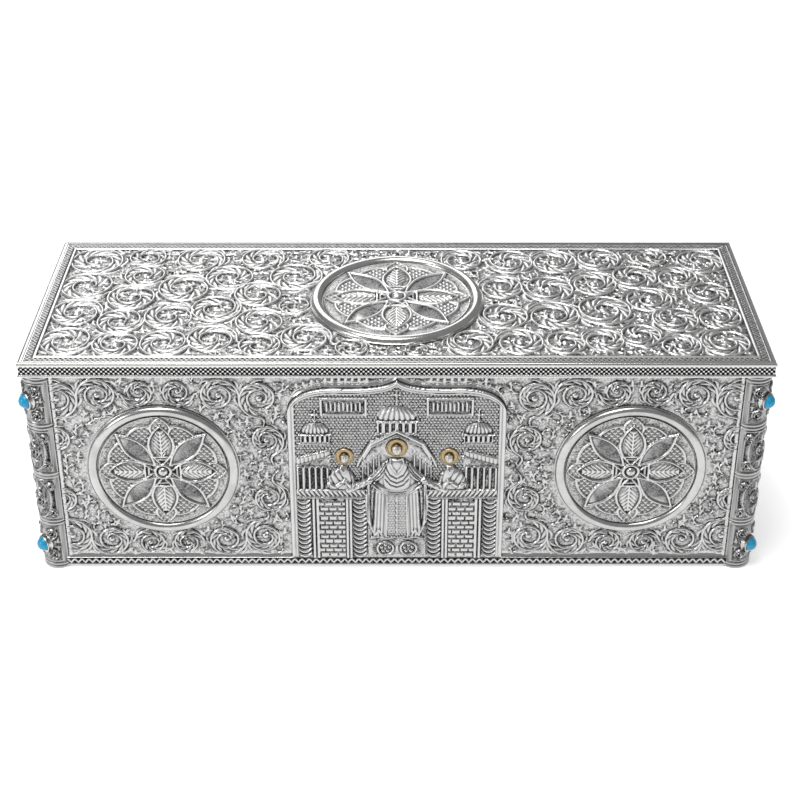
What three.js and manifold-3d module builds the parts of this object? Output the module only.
// A chased silver reliquary: a long box of sheet silver with a flat lift-off lid, round corner columns
// set with turquoise, rosette medallions and an arched relief plaque on the front.
// Millimetres, +Z up, front towards -Y, origin at the middle of the footprint.
import * as THREE from "three";
import { mergeVertices } from "three/addons/utils/BufferGeometryUtils.js";
import Module from "manifold-3d";

const wasm = await Module();
wasm.setup();

// Driving dimensions
const LID_WIDTH = 360;
const LID_DEPTH = 124;
const BODY_HEIGHT = 114;
const SHEET = 1.5;
const GAP = 0.3;
const FOOT_LIFT = 1;

const COLUMN_RADIUS = 8;
const COLUMN_INSET = 8.4;
const COLUMN_SIDES = 12;
const COLUMN_SECTIONS = 4;
const COLLAR_RISE = 0.5;
const COLLAR_HEIGHT = 3.6;

const PANEL_INSET = 2.2;
const BASE_STRIP_HEIGHT = 5.4;
const BASE_STRIP_RISE = 0.8;

const RIM_TOP = 122;
const RIM_WIDTH = 2.2;
const LEDGE_WIDTH = 5.4;
const LEDGE_TOP = 119.5;
const LIP_CLEARANCE = 0.5;
const LIP_DEPTH = 3;
const LID_BORDER_WIDTH = 8.2;
const LID_BORDER_RISE = 0.6;

const LID_MEDALLION_RADIUS = 44;
const WALL_MEDALLION_RADIUS = 37;
const WALL_MEDALLION_X = 114.5;
const WALL_MEDALLION_Z = 60;
const RING_SHARE = 0.15;
const RING_SIDES = 16;
const DISC_THICKNESS = 1;

const STEM_HEIGHT = 0.9;
const STEM_WIDTH_SHARE = 0.25;
const STEM_STEPS = 6;
const STEM_TURNS = 0.95;
const STEM_SINK = 0.4;

const PLAQUE_WIDTH = 106;
const PLAQUE_HEIGHT = 106.4;
const PLAQUE_THICKNESS = 1.2;
const PLAQUE_FRAME = 3.4;
const PLAQUE_FRAME_RISE = 1.2;

const STONE_RADIUS = 3.5;
const STONE_DOME = 3.1;
const BEZEL_WALL = 0.7;
const BEZEL_HEIGHT = 2.4;
const STONE_SIDES = 6;

// Sizes that follow from them
const HALF_WIDTH = LID_WIDTH / 2;
const HALF_DEPTH = LID_DEPTH / 2;
const COLUMN_X = HALF_WIDTH - COLUMN_INSET;
const COLUMN_Y = HALF_DEPTH - COLUMN_INSET;
const FIELD_HALF_WIDTH = COLUMN_X - 5;
const FIELD_HALF_DEPTH = COLUMN_Y - 5;
const FIELD_BOTTOM = FOOT_LIFT + BASE_STRIP_HEIGHT;

const silver = () => new THREE.MeshStandardMaterial({ color: 0xc9cac8, metalness: 1, roughness: 0.35 });
const gilt = () => new THREE.MeshStandardMaterial({ color: 0xc8a45c, metalness: 1, roughness: 0.35 });
const turquoise = () => new THREE.MeshStandardMaterial({ color: 0x1d9fd0, metalness: 0, roughness: 0.25 });

// Solids from three.js geometry, and back
function solid(geometry) {
  const bare = geometry.index ? geometry.clone() : geometry;
  bare.deleteAttribute("normal");
  bare.deleteAttribute("uv");
  const merged = mergeVertices(bare, 1e-4);
  return new wasm.Manifold(
    new wasm.Mesh({
      numProp: 3,
      vertProperties: new Float32Array(merged.attributes.position.array),
      triVerts: new Uint32Array(merged.index.array),
    }),
  );
}

function geometryOf(made) {
  const { vertProperties, triVerts, numProp } = made.getMesh();
  const position = new Float32Array((vertProperties.length / numProp) * 3);
  for (let i = 0; i < position.length / 3; i += 1) {
    for (let k = 0; k < 3; k += 1) position[3 * i + k] = vertProperties[numProp * i + k];
  }
  const geometry = new THREE.BufferGeometry();
  geometry.setAttribute("position", new THREE.BufferAttribute(position, 3));
  geometry.setIndex(new THREE.BufferAttribute(new Uint32Array(triVerts), 1));
  geometry.computeVertexNormals();
  return geometry;
}

const joined = (solids) => solids.reduce((all, one) => all.add(one));
const geometryFrom = (points, faces) => {
  const geometry = new THREE.BufferGeometry();
  geometry.setAttribute("position", new THREE.Float32BufferAttribute(points.flat(), 3));
  geometry.setIndex(faces.flat());
  return geometry;
};

function block(x0, x1, y0, y1, z0, z1) {
  const geometry = new THREE.BoxGeometry(x1 - x0, y1 - y0, z1 - z0);
  geometry.translate((x0 + x1) / 2, (y0 + y1) / 2, (z0 + z1) / 2);
  return solid(geometry);
}

function upright(radius, z0, z1, sides) {
  const geometry = new THREE.CylinderGeometry(radius, radius, z1 - z0, sides);
  geometry.rotateX(Math.PI / 2);
  geometry.translate(0, 0, (z0 + z1) / 2);
  return geometry;
}

// A turned solid about +Z from [radius, height] points, listed bottom to top
function turned(profile, sides) {
  const geometry = new THREE.LatheGeometry(profile.map(([r, z]) => new THREE.Vector2(r, z)), sides);
  geometry.rotateX(Math.PI / 2);
  return solid(geometry);
}

// A flat outline raised from z0 to z1
function raised(outline, z0, z1) {
  const shape = new THREE.Shape(outline.map(([x, y]) => new THREE.Vector2(x, y)));
  const geometry = new THREE.ExtrudeGeometry(shape, { depth: z1 - z0, bevelEnabled: false });
  geometry.translate(0, 0, z0);
  return solid(geometry);
}

// Rings of points joined one to the next, bottom to top, and closed at both ends
function lofted(rings) {
  const points = rings.flat();
  const count = rings[0].length;
  const faces = [];
  for (let i = 1; i + 1 < count; i += 1) faces.push([0, i + 1, i]);
  for (let level = 1; level < rings.length; level += 1) {
    const [low, high] = [count * (level - 1), count * level];
    for (let i = 0; i < count; i += 1) {
      const next = (i + 1) % count;
      faces.push([low + i, low + next, high + next], [low + i, high + next, high + i]);
    }
  }
  const top = count * (rings.length - 1);
  for (let i = 1; i + 1 < count; i += 1) faces.push([top, top + i, top + i + 1]);
  return solid(geometryFrom(points, faces));
}

// A low carved form on the face z = 0: a foot outline, a shoulder drawn in from it and one highest point
function mound(outline, crest, height, shoulder) {
  const [cx, cy] = crest;
  const at = (share, z) => outline.map(([x, y]) => [cx + (x - cx) * share, cy + (y - cy) * share, z]);
  return lofted([at(1, -STEM_SINK), at(1, 0), at(shoulder, 0.8 * height), at(0, height)]);
}

// A carved ridge of triangular section that follows a path on the face z = 0
function ridge(path, halfWidth, height) {
  const rings = path.map(([x, y], i) => {
    const [xa, ya] = path[Math.max(0, i - 1)];
    const [xb, yb] = path[Math.min(path.length - 1, i + 1)];
    const length = Math.hypot(xb - xa, yb - ya);
    const across = [(-(yb - ya) / length) * halfWidth, ((xb - xa) / length) * halfWidth];
    const [left, right] = [[x + across[0], y + across[1]], [x - across[0], y - across[1]]];
    return [[...left, -STEM_SINK], [...left, 0], [x, y, height], [...right, 0], [...right, -STEM_SINK]];
  });
  return lofted(rings);
}

// Scrollwork: each scroll is a vine stem that winds in towards its eye. Neighbouring scrolls turn
// opposite ways, like meshed wheels, so that a stem runs on from one into the next.
const GOLDEN = 0.6180339887;
const SPREAD_ROUNDS = 24;
const SAMPLE_STEP = 3;

// A number of scrolls spread evenly over a field, clear of a round hole in its middle
function spreadScrolls(halfWidth, halfHeight, hole, count) {
  const samples = [];
  for (let x = SAMPLE_STEP / 2 - halfWidth; x < halfWidth; x += SAMPLE_STEP) {
    for (let y = SAMPLE_STEP / 2 - halfHeight; y < halfHeight; y += SAMPLE_STEP) {
      if (Math.hypot(x, y) > hole) samples.push([x, y]);
    }
  }
  const spots = [];
  for (let i = 0; i < count; i += 1) {
    const [x, y] = samples[Math.floor(((i + 0.5) * GOLDEN % 1) * samples.length)];
    spots.push({ x, y: y + 0.01 * i });
  }
  const away = (spot, x, y) => Math.hypot(spot.x - x, spot.y - y);
  for (let round = 0; round < SPREAD_ROUNDS; round += 1) {
    const sums = spots.map(() => [0, 0, 0]);
    for (const [x, y] of samples) {
      let best = 0;
      for (let i = 1; i < count; i += 1) if (away(spots[i], x, y) < away(spots[best], x, y)) best = i;
      sums[best][0] += x;
      sums[best][1] += y;
      sums[best][2] += 1;
    }
    spots.forEach((spot, i) => {
      spot.x = sums[i][0] / sums[i][2];
      spot.y = sums[i][1] / sums[i][2];
    });
  }
  for (const spot of spots) {
    const others = spots.filter((other) => other !== spot);
    const nearest = Math.min(...others.map((other) => away(spot, other.x, other.y)));
    const edge = Math.min(halfWidth - Math.abs(spot.x), halfHeight - Math.abs(spot.y), away(spot, 0, 0) - hole);
    spot.r = Math.min(0.5 * nearest, edge);
  }
  return grown(spots);
}

// Each scroll springs from the nearest one that lies closer to the middle
function grown(spots) {
  const byReach = [...spots].sort((a, b) => Math.hypot(a.x, a.y) - Math.hypot(b.x, b.y));
  byReach.forEach((spot, i) => {
    const near = (other) => Math.hypot(other.x - spot.x, other.y - spot.y) - other.r;
    const parent = byReach.slice(0, i).sort((a, b) => near(a) - near(b))[0];
    const sprung = parent && near(parent) < 1.5 * spot.r;
    const from = sprung ? parent : { x: 0, y: 0, r: 0, turn: Math.sign(spot.x * spot.y) || 1 };
    const reach = Math.hypot(from.x - spot.x, from.y - spot.y) - from.r;
    spot.start = Math.atan2(from.y - spot.y, from.x - spot.x);
    spot.turn = -from.turn;
    spot.root = Math.min(reach, 1.5 * spot.r);
  });
  return byReach;
}

// Four scrolls of a quarter of a medallion's surround, from the side knot up to the top bud
const SURROUND = [
  { x: 51, y: 17, r: 8.6 },
  { x: 48.5, y: 41, r: 10 },
  { x: 29, y: 43, r: 9.4 },
  { x: 9.5, y: 45, r: 7.6 },
];
const SURROUND_KNOT = { x: 57, y: 0, r: 0 };

// The quarter is laid four times round a medallion, and scrolls past halfWidth are left off
function surroundScrolls(centreX, halfWidth) {
  const scrolls = [];
  for (const sx of [1, -1]) {
    for (const sy of [1, -1]) {
      let from = SURROUND_KNOT;
      SURROUND.forEach((spot, i) => {
        const start = Math.atan2(sy * (from.y - spot.y), sx * (from.x - spot.x));
        const root = Math.hypot(from.x - spot.x, from.y - spot.y) - from.r;
        const turn = (i % 2 ? 1 : -1) * sx * sy;
        const x = centreX + sx * spot.x;
        if (Math.abs(x) < halfWidth) scrolls.push({ x, y: sy * spot.y, r: spot.r, start, turn, root });
        from = spot;
      });
    }
  }
  return scrolls;
}

function scrollRidge({ x, y, r, start, turn, root }) {
  const path = [[x + root * Math.cos(start), y + root * Math.sin(start)]];
  for (let i = 0; i <= STEM_STEPS; i += 1) {
    const t = i / STEM_STEPS;
    const angle = start + turn * (0.07 + t * STEM_TURNS) * 2 * Math.PI;
    const reach = r * (1 - 0.7 * t ** 1.3);
    path.push([x + reach * Math.cos(angle), y + reach * Math.sin(angle)]);
  }
  return ridge(path, (r * STEM_WIDTH_SHARE) / 2, STEM_HEIGHT);
}

// A chased sheet: a plate whose face is z = 0, with scrolls raised on its field clear of the mounts laid on it
function chasedSheet(halfWidth, y0, y1, scrolls, field, mounts) {
  const sheet = block(-halfWidth, halfWidth, y0, y1, -SHEET, 0);
  const extent = block(-field.halfWidth, field.halfWidth, field.y0, field.y1, -SHEET, 2 * STEM_HEIGHT);
  const scrollwork = joined(scrolls.map(scrollRidge)).intersect(extent);
  return sheet.add(mounts.reduce((left, mount) => left.subtract(mount), scrollwork));
}

const medallionRoom = (x, radius) =>
  solid(upright(radius + GAP, -SHEET, 4 * STEM_HEIGHT, RING_SIDES)).translate([x, 0, 0]);

// A flat-lying solid stood up as a wall that faces -Y, then turned by quarter turns about +Z
function stood(made, faceDistance, quarterTurns) {
  return made.rotate([90, 0, 0]).translate([0, -faceDistance, 0]).rotate([0, 0, 90 * quarterTurns]);
}

// Corner columns
const CORNERS = [
  ["front_left", -1, -1],
  ["front_right", 1, -1],
  ["back_right", 1, 1],
  ["back_left", -1, 1],
];
const columnRoom = (z0, z1) =>
  joined(
    CORNERS.map(([, sx, sy]) => {
      const geometry = upright(COLUMN_RADIUS + COLLAR_RISE + GAP, z0, z1, COLUMN_SIDES);
      geometry.translate(sx * COLUMN_X, sy * COLUMN_Y, 0);
      return solid(geometry);
    }),
  );

// Turquoise cabochons in silver bezels, facing out along each corner's diagonal
const STONE_LEVELS = [
  ["lower", BODY_HEIGHT / COLUMN_SECTIONS / 2],
  ["upper", BODY_HEIGHT * (1 - 0.5 / COLUMN_SECTIONS)],
];
const BEZEL_RADIUS = STONE_RADIUS + GAP + BEZEL_WALL;
const BEZEL_FLOOR = 0.6;
const BEZEL_SEAT = COLUMN_RADIUS - 1.4;

function bezel() {
  const inner = STONE_RADIUS + GAP;
  return turned(
    [[0, 0], [BEZEL_RADIUS, 0], [inner + 0.1, BEZEL_HEIGHT], [inner, BEZEL_FLOOR], [0, BEZEL_FLOOR]],
    STONE_SIDES,
  );
}

function cabochon() {
  const bottom = BEZEL_FLOOR + GAP / 2;
  const girdle = bottom + 0.8;
  const profile = [[0, bottom], [STONE_RADIUS, bottom]];
  for (const angle of [0, 45]) {
    const a = THREE.MathUtils.degToRad(angle);
    profile.push([STONE_RADIUS * Math.cos(a), girdle + STONE_DOME * Math.sin(a)]);
  }
  profile.push([0, girdle + STONE_DOME]);
  return turned(profile, STONE_SIDES);
}

function onCorner(made, sx, sy, z) {
  const bearing = THREE.MathUtils.radToDeg(Math.atan2(sy, sx));
  const reach = BEZEL_SEAT * Math.SQRT1_2;
  return made
    .rotate([0, 90, 0])
    .rotate([0, 0, bearing])
    .translate([sx * (COLUMN_X + reach), sy * (COLUMN_Y + reach), z]);
}

function columnProfile() {
  const profile = [[0, 0], [COLUMN_RADIUS, 0]];
  const collar = (z) => {
    profile.push([COLUMN_RADIUS, z - COLLAR_HEIGHT / 2]);
    profile.push([COLUMN_RADIUS + COLLAR_RISE, z]);
    profile.push([COLUMN_RADIUS, z + COLLAR_HEIGHT / 2]);
  };
  for (let i = 1; i < COLUMN_SECTIONS; i += 1) collar((BODY_HEIGHT * i) / COLUMN_SECTIONS);
  profile.push([COLUMN_RADIUS, BODY_HEIGHT], [0, BODY_HEIGHT]);
  return profile;
}

// A column has a flat seat cut for each bezel
function column(sx, sy) {
  const reach = COLUMN_RADIUS + 2 * COLLAR_RISE;
  const half = BEZEL_RADIUS + GAP;
  const bearing = THREE.MathUtils.radToDeg(Math.atan2(sy, sx));
  const seat = block(BEZEL_SEAT - GAP, reach, -reach, reach, -half, half).rotate([0, 0, bearing]);
  const shaft = turned(columnProfile(), COLUMN_SIDES);
  return STONE_LEVELS.reduce((left, [, z]) => left.subtract(seat.translate([0, 0, z])), shaft);
}

// Medallions: a half-round ring round a rosette of four leaf petals and four almond petals
function medallionRing(radius) {
  const width = radius * RING_SHARE;
  const rise = width * 0.5;
  const inner = radius - width;
  return turned(
    [[inner, 0], [radius, 0], [radius - 0.35 * width, rise], [inner + 0.3 * width, rise], [inner, 0]],
    RING_SIDES,
  );
}

function petal(length, halfWidth, start, height) {
  const middle = start + 0.45 * (length - start);
  const outline = [[start, 0], [middle, -halfWidth], [length, 0], [middle, halfWidth]];
  const at = (z) => outline.map(([x, y]) => [x, y, z]);
  return lofted([at(-STEM_SINK), at(0), outline.map(() => [middle, 0, height])]);
}

function rosette(radius) {
  const reach = radius * (1 - RING_SHARE) - GAP;
  const disc = solid(upright(reach, 0, DISC_THICKNESS, RING_SIDES));
  const pieces = [disc];
  for (let i = 0; i < 8; i += 1) {
    const halfWidth = reach * (i % 2 ? 0.17 : 0.22);
    const leaf = petal(0.97 * reach, halfWidth, 0.12 * reach, 0.05 * reach);
    pieces.push(leaf.rotate([0, 0, 45 * i]).translate([0, 0, DISC_THICKNESS]));
  }
  const boss = reach * 0.16;
  const [shoulder, crown] = [DISC_THICKNESS + 0.2 * boss, DISC_THICKNESS + 0.7 * boss];
  pieces.push(turned([[0, 0.5], [boss, 0.5], [boss, shoulder], [0, crown]], 8));
  return joined(pieces);
}

// The relief plaque: an ogee-arched frame round a church, two walls and three haloed figures
function ogeeOutline(halfWidth, height, bottom) {
  const [shoulder, crown] = [0.8 * height, 0.955 * height];
  const at = (x, y) => new THREE.Vector2(x, y);
  const springing = at(-0.56 * halfWidth, crown);
  const curve = new THREE.CurvePath();
  curve.add(new THREE.QuadraticBezierCurve(at(-halfWidth, shoulder), at(-halfWidth, crown), springing));
  curve.add(new THREE.QuadraticBezierCurve(springing, at(-0.1 * halfWidth, crown - 1), at(0, height)));
  const left = curve.getPoints(3).map((p) => [p.x, p.y]);
  const right = left.slice(0, -1).reverse().map(([x, y]) => [-x, y]);
  return [[-halfWidth, bottom], ...left, ...right, [halfWidth, bottom]].reverse();
}

const HEAD_RADIUS = 3;
const FIGURES = [
  { name: "centre", x: 0, z: 67.4, head: 1.1 },
  { name: "left", x: -25.6, z: 62.4, head: 1 },
  { name: "right", x: 25.6, z: 62.4, head: 1 },
];
const HALO_THICKNESS = 0.5;
const HALO_RADIUS = 4.7;
const RELIEF_BASE = PLAQUE_THICKNESS;
const HALO_SEAT = RELIEF_BASE + GAP;
const WALL_TOP = 37.9;
const CORNICE_TOP = 42.8;
const DOMES = [[0, 83.4, 10.3], [-39.6, 75.7, 7.6], [39.6, 75.7, 7.6]];

function flatBlock(x0, x1, y0, y1, rise) {
  return block(x0, x1, y0, y1, RELIEF_BASE - STEM_SINK, RELIEF_BASE + rise);
}

// A rounded lobe of carving on an elliptic foot
function lobe(x, y, rx, ry, rise, sides = 6) {
  const outline = [];
  for (let i = 0; i < sides; i += 1) {
    const a = (2 * Math.PI * i) / sides;
    outline.push([x + rx * Math.cos(a), y + ry * Math.sin(a)]);
  }
  return mound(outline, [x, y], rise, 0.7).translate([0, 0, RELIEF_BASE]);
}

function churchRelief() {
  const pieces = [raised([[-12.5, 70], [12.5, 70], [0, 78]], RELIEF_BASE - STEM_SINK, RELIEF_BASE + 0.9)];
  for (const [x, y, r] of DOMES) {
    pieces.push(lobe(x, y, r, 0.88 * r, 1.6));
    pieces.push(flatBlock(x - 0.9 * r, x + 0.9 * r, y - r, y, 1));
    pieces.push(flatBlock(x - 0.5, x + 0.5, y, y + 1.75 * r, 0.8));
  }
  for (const side of [-1, 1]) {
    const span = (a, b, y0, y1, rise) =>
      pieces.push(flatBlock(Math.min(side * a, side * b), Math.max(side * a, side * b), y0, y1, rise));
    span(15, 49.5, WALL_TOP, CORNICE_TOP, 1.8);
    span(15, 21.8, 1, WALL_TOP - 0.6, 1.4);
    span(42.8, 49.5, 1, WALL_TOP - 0.6, 1.4);
    span(24.8, 38.5, 1, WALL_TOP - 0.6, 0.7);
    span(35, 49.5, CORNICE_TOP + 1, 59.4, 0.6);
    span(14, 37, 86.1, 96.2, 0.7);
  }
  return pieces;
}

function figureRelief() {
  const robeOutline = [[-13, 13], [13, 13], [14, 43.4], [7, 61.4], [-7, 61.4], [-14, 43.4]];
  const pieces = [raised(robeOutline, RELIEF_BASE - STEM_SINK, RELIEF_BASE + 1.2)];
  pieces.push(lobe(0, 52.4, 7.5, 10, 2.8));
  for (const x of [-10.5, -3.5, 3.5, 10.5]) {
    pieces.push(ridge([[1.1 * x, 15], [x, 43.4]], 1.2, 2).translate([0, 0, RELIEF_BASE]));
  }
  const veil = [-1, -0.5, 0, 0.5, 1].map((t) => [13.5 * t, 41.4 + 8 * t * t]);
  pieces.push(ridge(veil, 2.2, 2.8).translate([0, 0, RELIEF_BASE]));
  for (const side of [-1, 1]) {
    const sleeve = ridge([[5 * side, 58.4], [14 * side, 49.4], [23.6 * side, 43.9]], 2, 2.6);
    pieces.push(sleeve.translate([0, 0, RELIEF_BASE]));
    pieces.push(lobe(27 * side, 50.9, 7.4, 8, 2));
    pieces.push(lobe(5.8 * side, 5.6, 4.6, 4.6, 1.2));
  }
  return pieces;
}

const haloRoom = (x, z, head) =>
  solid(upright(HALO_RADIUS * head + GAP, RELIEF_BASE, HALO_SEAT + 4, 10)).translate([x, z, 0]);

function plaque() {
  const outer = ogeeOutline(PLAQUE_WIDTH / 2, PLAQUE_HEIGHT, 0);
  const inner = ogeeOutline(PLAQUE_WIDTH / 2 - PLAQUE_FRAME, PLAQUE_HEIGHT - 1.6 * PLAQUE_FRAME, 0.8);
  const back = raised(outer, 0, PLAQUE_THICKNESS);
  const frame = raised(outer, PLAQUE_THICKNESS - STEM_SINK, PLAQUE_THICKNESS + PLAQUE_FRAME_RISE);
  const field = raised(inner, PLAQUE_THICKNESS - 2 * STEM_SINK, PLAQUE_THICKNESS + 2 * PLAQUE_FRAME_RISE);
  let made = joined([back, frame.subtract(field), ...churchRelief(), ...figureRelief()]);
  for (const { x, z, head } of FIGURES) made = made.subtract(haloRoom(x, z, head));
  return made;
}

const plaqueRoom = () =>
  raised(ogeeOutline(PLAQUE_WIDTH / 2 + GAP, PLAQUE_HEIGHT + GAP, -GAP), -SHEET, 4 * STEM_HEIGHT);

// A halo is a gilt disc with the head raised on it, pinned to the plaque
function halo({ x, z, head }) {
  const plate = upright(HALO_RADIUS * head, HALO_SEAT, HALO_SEAT + HALO_THICKNESS, 10);
  const disc = solid(plate).translate([x, z, 0]);
  const face = lobe(x, z - 0.6, HEAD_RADIUS * head * 0.8, HEAD_RADIUS * head, 2, 6);
  const above = block(x - 9, x + 9, z - 9, z + 9, HALO_SEAT + 0.1, HALO_SEAT + 6);
  return disc.add(face.intersect(above));
}

// One mitred side of a moulded frame. A profile point is [distance in from the edge, height].
function mitredSide(profile, halfWidth, halfDepth) {
  const shape = profile.map(([inward, z]) => new THREE.Vector2(inward, z));
  if (THREE.ShapeUtils.isClockWise(shape)) shape.reverse();
  const caps = THREE.ShapeUtils.triangulateShape(shape, []);
  const count = shape.length;
  const points = [];
  for (const side of [-1, 1]) {
    for (const { x, y } of shape) points.push([side * (halfWidth - x), x - halfDepth, y]);
  }
  const faces = caps.flatMap(([a, b, c]) => [[a, c, b], [count + a, count + b, count + c]]);
  for (let i = 0; i < count; i += 1) {
    const next = (i + 1) % count;
    faces.push([i, next, count + next], [i, count + next, count + i]);
  }
  return solid(geometryFrom(points, faces));
}

const PANEL_BACK = PANEL_INSET + SHEET;
const RIM_PROFILE = [
  [0.5, BODY_HEIGHT], [0, BODY_HEIGHT + 0.4], [0, BODY_HEIGHT + 1.2], [0.7, BODY_HEIGHT + 1.5],
  [0.7, RIM_TOP - 2.2], [0, RIM_TOP - 1.9], [0, RIM_TOP - 0.7], [0.7, RIM_TOP], [RIM_WIDTH, RIM_TOP],
  [RIM_WIDTH, LEDGE_TOP], [LEDGE_WIDTH, LEDGE_TOP], [LEDGE_WIDTH, BODY_HEIGHT - LIP_DEPTH],
  [PANEL_BACK + LIP_CLEARANCE, BODY_HEIGHT - LIP_DEPTH], [PANEL_BACK + LIP_CLEARANCE, BODY_HEIGHT],
];

const SIDES = [
  ["front", 0, HALF_WIDTH, HALF_DEPTH],
  ["right", 1, HALF_DEPTH, HALF_WIDTH],
  ["back", 2, HALF_WIDTH, HALF_DEPTH],
  ["left", 3, HALF_DEPTH, HALF_WIDTH],
];

const reliquary = new THREE.Group();

function put(name, made, material) {
  const mesh = new THREE.Mesh(geometryOf(made), material());
  mesh.name = name;
  reliquary.add(mesh);
}

const MEDALLIONS = [
  ["front_left", 0, -WALL_MEDALLION_X],
  ["front_right", 0, WALL_MEDALLION_X],
  ["right", 1, 0],
  ["back", 2, 0],
  ["left", 3, 0],
];

// Body: floor, four chased walls with base strips, four columns
const floorHalfWidth = HALF_WIDTH - PANEL_BACK - GAP;
const floorHalfDepth = HALF_DEPTH - PANEL_BACK - GAP;
const floorExtent = [-floorHalfWidth, floorHalfWidth, -floorHalfDepth, floorHalfDepth];
const floor = block(...floorExtent, FOOT_LIFT, FOOT_LIFT + SHEET);
put("floor_plate", floor.subtract(columnRoom(-1, BODY_HEIGHT)), silver);

const wallCentre = WALL_MEDALLION_Z;
const fieldHalfHeight = (BODY_HEIGHT - FIELD_BOTTOM) / 2;
const WALL_SCROLLS = {
  front: [
    ...surroundScrolls(-WALL_MEDALLION_X, FIELD_HALF_WIDTH),
    ...surroundScrolls(WALL_MEDALLION_X, FIELD_HALF_WIDTH),
  ],
  back: spreadScrolls(FIELD_HALF_WIDTH, fieldHalfHeight, WALL_MEDALLION_RADIUS, 10),
  left: spreadScrolls(FIELD_HALF_DEPTH, fieldHalfHeight, WALL_MEDALLION_RADIUS, 6),
  right: spreadScrolls(FIELD_HALF_DEPTH, fieldHalfHeight, WALL_MEDALLION_RADIUS, 6),
};
for (const [side, turns, halfRun, halfAcross] of SIDES) {
  const face = halfAcross - PANEL_INSET;
  const halfWidth = halfRun - COLUMN_INSET;
  const field = {
    halfWidth: halfRun - COLUMN_INSET - COLUMN_RADIUS / 2,
    y0: FIELD_BOTTOM + GAP - wallCentre,
    y1: BODY_HEIGHT - GAP - wallCentre,
  };
  const onThisWall = MEDALLIONS.filter(([, at]) => at === turns);
  const rooms = onThisWall.map(([, , x]) => medallionRoom(x, WALL_MEDALLION_RADIUS));
  if (side === "front") rooms.push(plaqueRoom().translate([0, FIELD_BOTTOM - wallCentre, 0]));
  const bounds = [FOOT_LIFT - wallCentre, BODY_HEIGHT - wallCentre];
  const sheet = chasedSheet(halfWidth, ...bounds, WALL_SCROLLS[side], field, rooms);
  const wall = stood(sheet.translate([0, wallCentre, 0]), face, turns);
  put(`${side}_panel`, wall.subtract(columnRoom(-1, BODY_HEIGHT + 1)), silver);
  const strip = block(-halfWidth, halfWidth, FOOT_LIFT, FIELD_BOTTOM, GAP, GAP + BASE_STRIP_RISE);
  put(`${side}_base_strip`, stood(strip, face, turns).subtract(columnRoom(-1, BODY_HEIGHT)), silver);
}

for (const [corner, sx, sy] of CORNERS) {
  put(`column_${corner}`, column(sx, sy).translate([sx * COLUMN_X, sy * COLUMN_Y, 0]), silver);
  for (const [level, z] of STONE_LEVELS) {
    put(`bezel_${corner}_${level}`, onCorner(bezel(), sx, sy, z), silver);
    put(`turquoise_${corner}_${level}`, onCorner(cabochon(), sx, sy, z), turquoise);
  }
}

// Medallions on the walls
for (const [place, turns, x] of MEDALLIONS) {
  const face = SIDES[turns][3] - PANEL_INSET + GAP;
  const ring = medallionRing(WALL_MEDALLION_RADIUS).translate([x, wallCentre, 0]);
  const flower = rosette(WALL_MEDALLION_RADIUS).translate([x, wallCentre, 0]);
  put(`medallion_ring_${place}`, stood(ring, face, turns), silver);
  put(`rosette_${place}`, stood(flower, face, turns), silver);
}

// Front plaque with its three haloes
const plaqueFace = HALF_DEPTH - PANEL_INSET + GAP;
put("icon_plaque", stood(plaque().translate([0, FIELD_BOTTOM, 0]), plaqueFace, 0), silver);
for (const figure of FIGURES) {
  put(`halo_${figure.name}`, stood(halo(figure).translate([0, FIELD_BOTTOM, 0]), plaqueFace, 0), gilt);
}

// Lid: a chased top sheet in a rim of four mitred strips
for (const [side, turns, halfRun, halfAcross] of SIDES) {
  const strip = mitredSide(RIM_PROFILE, halfRun - GAP / 4, halfAcross).rotate([0, 0, 90 * turns]);
  put(`lid_rim_${side}`, strip.subtract(columnRoom(0, BODY_HEIGHT)), silver);
}
const topHalfWidth = HALF_WIDTH - RIM_WIDTH - GAP;
const topHalfDepth = HALF_DEPTH - RIM_WIDTH - GAP;
const lidFieldWidth = HALF_WIDTH - LID_BORDER_WIDTH;
const lidFieldDepth = HALF_DEPTH - LID_BORDER_WIDTH;
const LID_FACE = LEDGE_TOP + SHEET;
const lidScrolls = spreadScrolls(lidFieldWidth, lidFieldDepth, LID_MEDALLION_RADIUS, 40);
const border = block(-topHalfWidth, topHalfWidth, -topHalfDepth, topHalfDepth, -STEM_SINK, LID_BORDER_RISE)
  .subtract(block(-lidFieldWidth, lidFieldWidth, -lidFieldDepth, lidFieldDepth, -1, 2));
const lidField = { halfWidth: lidFieldWidth, y0: -lidFieldDepth, y1: lidFieldDepth };
const lidRooms = [medallionRoom(0, LID_MEDALLION_RADIUS)];
const lidSheet = chasedSheet(topHalfWidth, -topHalfDepth, topHalfDepth, lidScrolls, lidField, lidRooms);
put("lid_top", lidSheet.add(border).translate([0, 0, LID_FACE]), silver);
put("medallion_ring_lid", medallionRing(LID_MEDALLION_RADIUS).translate([0, 0, LID_FACE + GAP]), silver);
put("rosette_lid", rosette(LID_MEDALLION_RADIUS).translate([0, 0, LID_FACE + GAP]), silver);

export default reliquary;
